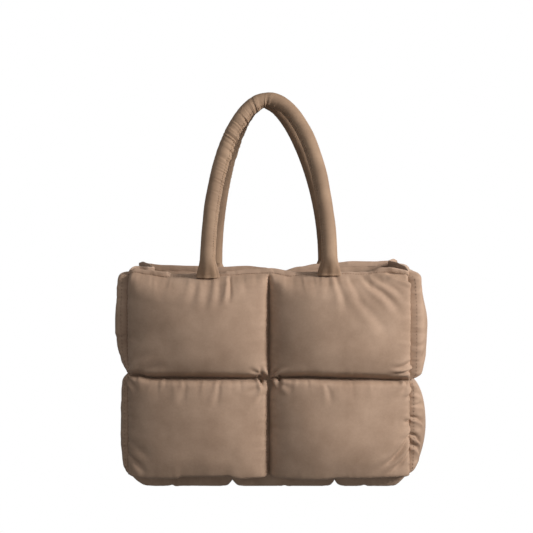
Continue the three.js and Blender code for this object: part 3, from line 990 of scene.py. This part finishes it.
def make_handle(name, node, facing, flare_length, seed, material):
    """A padded tube whose seam runs along its inner side, flattened where it is sewn on."""
    across, height = handle_outline()
    top_height = HANDLE_DROP + TUBE_RADIUS
    climb = height / top_height
    if facing > 0:
        # the back handle has slumped to a narrower point than the front one
        across = across * (1 - 0.18 * climb**1.7) + (2.5 - 8 * climb**2) * MM
    feet = rim_height(facing, np.array([across[0], across[-1]])) - 1.2 * MM
    foot = np.interp(across, [across[0], across[-1]], feet)
    round_share = smoothstep(height / flare_length)
    half_across = FLARE_HALF_WIDTH + (TUBE_RADIUS - FLARE_HALF_WIDTH) * round_share
    half_deep = FLARE_HALF_DEPTH + (TUBE_RADIUS - FLARE_HALF_DEPTH) * round_share
    free_climb = np.clip((height - RIM_HEIGHT) / (top_height - RIM_HEIGHT), 0, None)
    y = facing * (STRIP_FACE + half_deep - (STRIP_FACE - 0.3 * MM) * free_climb**1.25)
    z = foot + height * (RIM_SEAM + top_height - foot) / top_height
    centre = np.stack([across, y, z], -1)
    along = np.gradient(centre, axis=0)
    along[0] = (0, 0, 1)
    along[-1] = (0, 0, -1)
    along /= np.linalg.norm(along, axis=1, keepdims=True)
    inward = np.stack([along[:, 2], 0 * y, -along[:, 0]], -1)
    inward /= np.linalg.norm(inward, axis=1, keepdims=True)
    back = np.cross(along, inward)
    steps = np.linalg.norm(np.diff(centre, axis=0), axis=1)
    length = np.concatenate([[0], np.cumsum(steps)])
    sides = 64
    angle = 2 * math.pi * np.arange(sides) / sides
    seam_angle = math.radians(30) * facing
    away = np.angle(np.exp(1j * (angle - seam_angle)))
    share = length / length[-1]
    left = smoothstep((0.53 - share) / 0.06)
    ends = smoothstep(share / 0.1) * smoothstep((1 - share) / 0.1)
    gather = ((0.3 + 0.7 * left * smoothstep((share - 0.1) / 0.25)) * ends)[:, None]
    crumpled = smoothstep((share - 0.2) / 0.15) * smoothstep((0.52 - share) / 0.06)
    reach = 0.75 + 0.5 * drift(length, 7 * MM, seed + 5)[:, None] + 0.5 * crumpled[:, None]
    near_seam = 0.12 + 0.88 * np.exp(-((away[None, :] / reach) ** 2))
    slanted = length[:, None] + 3 * MM * np.cos(angle + 0.7)[None, :]
    fine = (0.9 + 0.5 * crumpled[:, None]) * MM * drift(slanted, 1.9 * MM, seed)
    broad = 0.4 * MM * drift(slanted, 6.0 * MM, seed + 1)
    strength = 1.0 if facing < 0 else 0.35
    wrinkle = strength * (fine + broad) * gather * near_seam
    soft = 0.4 * MM * drift(length[:, None] + 9 * MM * angle[None, :], 24 * MM, seed + 2)
    soft = soft * np.sin(angle / 2)[None, :]
    groove = -1.0 * MM * np.exp(-((away / 0.1) ** 2))[None, :]
    scallop = 0.35 * MM * np.cos(2 * math.pi * length / (3.2 * MM))[:, None]
    scallop = scallop * np.exp(-((np.abs(away) - 0.2) / 0.16) ** 2)[None, :]
    pinch_at = np.exp(-(((share - 0.497) / 0.009) ** 2))
    pinch = -1.3 * MM * pinch_at[:, None] * (0.6 + 0.4 * np.cos(away))[None, :]
    foot_folds = 0.5 * MM * np.cos(7 * angle)[None, :] * (1 - round_share)[:, None]
    radial = wrinkle + soft + groove + scallop * ends[:, None] + pinch + foot_folds
    deep = half_deep[:, None] * np.sin(angle)[None, :]
    wide = half_across[:, None] * np.cos(angle)[None, :]
    scale = (1 + radial / np.sqrt(deep**2 + wide**2))[..., None]
    spokes = wide[..., None] * inward[:, None, :] + deep[..., None] * back[:, None, :]
    points = centre[:, None, :] + spokes * scale
    rings = len(length)
    caps = []
    for ring in (0, rings - 1):
        middle = points[ring].mean(axis=0)
        shrunk = middle + (points[ring] - middle) * 0.55
        shrunk[:, 2] -= 0.8 * MM
        caps.append(shrunk)
    everything = np.concatenate([points.reshape(-1, 3), *caps])
    index = np.arange(rings * sides).reshape(rings, sides)
    turn = np.roll(index, -1, axis=1)
    quads = [index[:-1], turn[:-1], turn[1:], index[1:]]
    faces = np.stack(quads, -1).reshape(-1, 4).tolist()
    low = np.arange(sides) + rings * sides
    high = low + sides
    for k in range(sides):
        n = (k + 1) % sides
        faces.append([int(index[0, k]), int(low[k]), int(low[n]), int(index[0, n])])
        faces.append([int(index[-1, n]), int(high[n]), int(high[k]), int(index[-1, k])])
    faces.append(low[::-1].tolist())
    faces.append(high.tolist())
    turned = np.repeat(angle[None, :] * TUBE_RADIUS, rings, 0)
    grid = np.stack([turned, np.repeat(length[:, None], sides, 1)], -1)
    uvs = np.concatenate([grid.reshape(-1, 2), grid[0], grid[-1]])
    piece = link_piece(name, everything, faces, uvs, material)
    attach(piece, "root")
    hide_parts(node)
    beside = int(np.argmin(np.abs(away - 0.24 * facing)))
    return points[30:-30, beside]


def stitch_tree(thread):
    """Geometry nodes that lay one stitch after another along the edges of a mesh."""
    tree = bpy.data.node_groups.new("lockstitch", "GeometryNodeTree")
    face = tree.interface
    face.new_socket("Seam", in_out="INPUT", socket_type="NodeSocketGeometry")
    for name, value in (("Pitch", 3.2 * MM), ("Length", 2.3 * MM), ("Thread", 0.36 * MM)):
        socket = face.new_socket(name, in_out="INPUT", socket_type="NodeSocketFloat")
        socket.default_value = value
    face.new_socket("Stitches", in_out="OUTPUT", socket_type="NodeSocketGeometry")
    given = add_node(tree, "NodeGroupInput")
    curve = add_node(tree, "GeometryNodeMeshToCurve", {"Mesh": given.outputs["Seam"]})
    spaced = add_node(
        tree,
        "GeometryNodeResampleCurve",
        {"Curve": curve.outputs["Curve"], "Length": given.outputs["Pitch"]},
        mode="LENGTH",
    )
    bead = add_node(tree, "GeometryNodeMeshUVSphere", {"Segments": 6, "Rings": 5, "Radius": 0.5})
    double = add_node(
        tree, "ShaderNodeMath", {0: given.outputs["Thread"], 1: 2.0}, operation="MULTIPLY"
    )
    size = add_node(
        tree,
        "ShaderNodeCombineXYZ",
        {"X": double.outputs["Value"], "Y": double.outputs["Value"], "Z": given.outputs["Length"]},
    )
    tangent = add_node(tree, "GeometryNodeInputTangent")
    turned = add_node(
        tree, "FunctionNodeAlignRotationToVector", {"Vector": tangent.outputs["Tangent"]}, axis="Z"
    )
    laid = add_node(
        tree,
        "GeometryNodeInstanceOnPoints",
        {
            "Points": spaced.outputs["Curve"],
            "Instance": bead.outputs["Mesh"],
            "Rotation": turned.outputs["Rotation"],
            "Scale": size.outputs["Vector"],
        },
    )
    real = add_node(tree, "GeometryNodeRealizeInstances", {"Geometry": laid.outputs["Instances"]})
    smooth = add_node(tree, "GeometryNodeSetShadeSmooth", {"Geometry": real.outputs["Geometry"]})
    dyed = add_node(
        tree,
        "GeometryNodeSetMaterial",
        {"Geometry": smooth.outputs["Geometry"], "Material": thread},
    )
    add_node(tree, "NodeGroupOutput", {"Stitches": dyed.outputs["Geometry"]})
    return tree


def make_stitches(name, lines, tree, pitch=3.2 * MM):
    """One mesh of all the stitches that run along the given lines of points."""
    points, edges = [], []
    for line in lines:
        first = len(points)
        points += line.tolist()
        edges += [(first + k, first + k + 1) for k in range(len(line) - 1)]
    mesh = bpy.data.meshes.new(name + "_lines")
    mesh.from_pydata(points, edges, [])
    guide = bpy.data.objects.new(name + "_lines", mesh)
    bpy.context.scene.collection.objects.link(guide)
    sewn = guide.modifiers.new("stitches", "NODES")
    sewn.node_group = tree
    identifiers = {s.name: s.identifier for s in tree.interface.items_tree if s.in_out == "INPUT"}
    sewn[identifiers["Pitch"]] = pitch
    shown = bpy.context.evaluated_depsgraph_get()
    made = bpy.data.meshes.new_from_object(guide.evaluated_get(shown), depsgraph=shown)
    made.name = name
    piece = bpy.data.objects.new(name, made)
    bpy.context.scene.collection.objects.link(piece)
    bpy.data.objects.remove(guide)
    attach(piece, "root")
    return piece


def seam_side_lines(panel):
    """Lines of top-stitching beside a panel's upright seams, just proud of its cloth."""
    points = panel.outer + 0.15 * MM * panel.normals(panel.outer)
    lines = []
    for number, seam in enumerate(panel.across.seams):
        inward = 1 if number == 0 else -1
        beside = int(np.argmin(np.abs(panel.across.at - seam - inward * 1.7 * MM)))
        for cell in range(panel.up.cell.max() + 1):
            rows = np.flatnonzero(panel.up.cell == cell)[2:-2]
            lines.append(points[rows, beside])
    return lines


def lit_white():
    """Backdrop cloth lit until it is plain white."""
    material = bpy.data.materials.new("white studio backdrop, lit")
    material.use_nodes = True
    tree = material.node_tree
    tree.nodes.clear()
    white = add_node(tree, "ShaderNodeEmission", {"Color": (1, 1, 1, 1), "Strength": 1.0})
    add_node(tree, "ShaderNodeOutputMaterial", {"Surface": white.outputs["Emission"]})
    return material


def disc(name, radius, height, material):
    corners = 64
    ring = [
        (radius * math.cos(2 * math.pi * k / corners), radius * math.sin(2 * math.pi * k / corners), height)
        for k in range(corners)
    ]
    mesh = bpy.data.meshes.new(name)
    mesh.from_pydata(ring, [], [list(range(corners))])
    mesh.materials.append(material)
    made = bpy.data.objects.new(name, mesh)
    bpy.context.scene.collection.objects.link(made)
    return made


def dome(name, radius, material):
    rows, columns = 24, 48
    points = []
    for r in range(rows + 1):
        polar = math.pi * r / rows
        for c in range(columns):
            turn = 2 * math.pi * c / columns
            points.append(
                (radius * math.sin(polar) * math.cos(turn), radius * math.sin(polar) * math.sin(turn), radius * math.cos(polar))
            )
    faces = []
    for r in range(rows):
        for c in range(columns):
            d = (c + 1) % columns
            faces.append((r * columns + c, r * columns + d, (r + 1) * columns + d, (r + 1) * columns + c))
    mesh = bpy.data.meshes.new(name)
    mesh.from_pydata(points, [], faces)
    mesh.materials.append(material)
    made = bpy.data.objects.new(name, mesh)
    bpy.context.scene.collection.objects.link(made)
    return made


def camera_only(staged):
    """Lets the camera see a staged thing without its light or colour falling on the bag."""
    staged.visible_diffuse = False
    staged.visible_glossy = False
    staged.visible_transmission = False
    staged.visible_shadow = False


def area_light(name, place, target, size, power, colour):
    data = bpy.data.lights.new(name, "AREA")
    data.shape = "DISK"
    data.size = size
    data.energy = power
    data.color = colour
    lamp = bpy.data.objects.new(name, data)
    lamp.location = place
    lamp.rotation_euler = (Vector(target) - Vector(place)).to_track_quat("-Z", "Y").to_euler()
    bpy.context.scene.collection.objects.link(lamp)


def make_stage():
    white = lit_white()
    floor = disc("white_floor", 3.0, -0.2 * MM, white)
    backdrop = dome("white_backdrop", 9.0, white)
    for staged in (floor, backdrop):
        camera_only(staged)
    middle = (0, 0, 0.22)
    area_light("key", (1.5, -0.76, 0.9), middle, 0.62, 40, (1.0, 0.97, 0.94))
    area_light("fill", (-1.8, -1.9, 0.9), middle, 1.6, 6, (0.95, 0.97, 1.0))
    area_light("bounce", (0.5, -1.3, 0.05), (0, 0, 0.1), 1.2, 2.4, (1.0, 0.99, 0.97))
    area_light("top", (-0.4, -0.8, 2.1), middle, 1.4, 6, (1.0, 1.0, 1.0))
    area_light("behind", (0.8, 2.0, 1.0), middle, 1.4, 18, (1.0, 0.98, 0.95))
    world = bpy.data.worlds.new("soft studio light")
    world.use_nodes = True
    background = world.node_tree.nodes["Background"]
    background.inputs["Color"].default_value = (1, 1, 1, 1)
    background.inputs["Strength"].default_value = 0.14
    bpy.context.scene.world = world
    bpy.context.scene.view_settings.view_transform = "Standard"


def make_camera():
    """The photo's view, found by fitting a pinhole camera to the bag's seams, rim and handles."""
    focal_px, frame_px, sensor = 1063.8, 533, 36.0
    data = bpy.data.cameras.new("photo view")
    data.sensor_width = sensor
    data.lens = focal_px / frame_px * sensor
    camera = bpy.data.objects.new("photo view", data)
    camera.location = (-2.5 * MM, -1360 * MM, 345 * MM)
    camera.rotation_euler = (math.radians(90 - 3.16), 0, 0)
    bpy.context.scene.collection.objects.link(camera)
    bpy.context.scene.camera = camera


make_camera()
make_stage()

quilted = woven_nylon("downproof nylon, plain woven and filled", "#b09580", "#957b67")
binding = woven_nylon("nylon binding, folded and pressed", "#b39884", "#997f6b")
tube_cover = woven_nylon("nylon tube cover, drawn over a core", "#a2876f", "#886f5a", sheen=0.06)
thread = spun_thread()

panels = make_panels()
inflate(panels)
stitch_lines = []
for number, panel in enumerate(panels):
    settle(panel, 100 + 50 * number)
    make_panel(panel, 100 + 50 * number, quilted)
    if panel.node != "base_panel":
        stitch_lines += seam_side_lines(panel)

rim, rim_points, rim_outward = make_rim_strip(binding)
rim_line = rim_points[:, 1] + 0.1 * MM * rim_outward
handle_lines = []
for name, node, facing, flare_length, seed in (
    ("handle_front_tube", "handle_front", -1, 24 * MM, 401),
    ("handle_back_tube", "handle_back", 1, 13 * MM, 451),
):
    handle_lines.append(make_handle(name, node, facing, flare_length, seed, tube_cover))

tree = stitch_tree(thread)
make_stitches("panel_stitches", stitch_lines, tree, 4.4 * MM)
make_stitches("rim_stitches", [np.concatenate([rim_line, rim_line[:1]])], tree)
make_stitches("handle_stitches", handle_lines, tree)
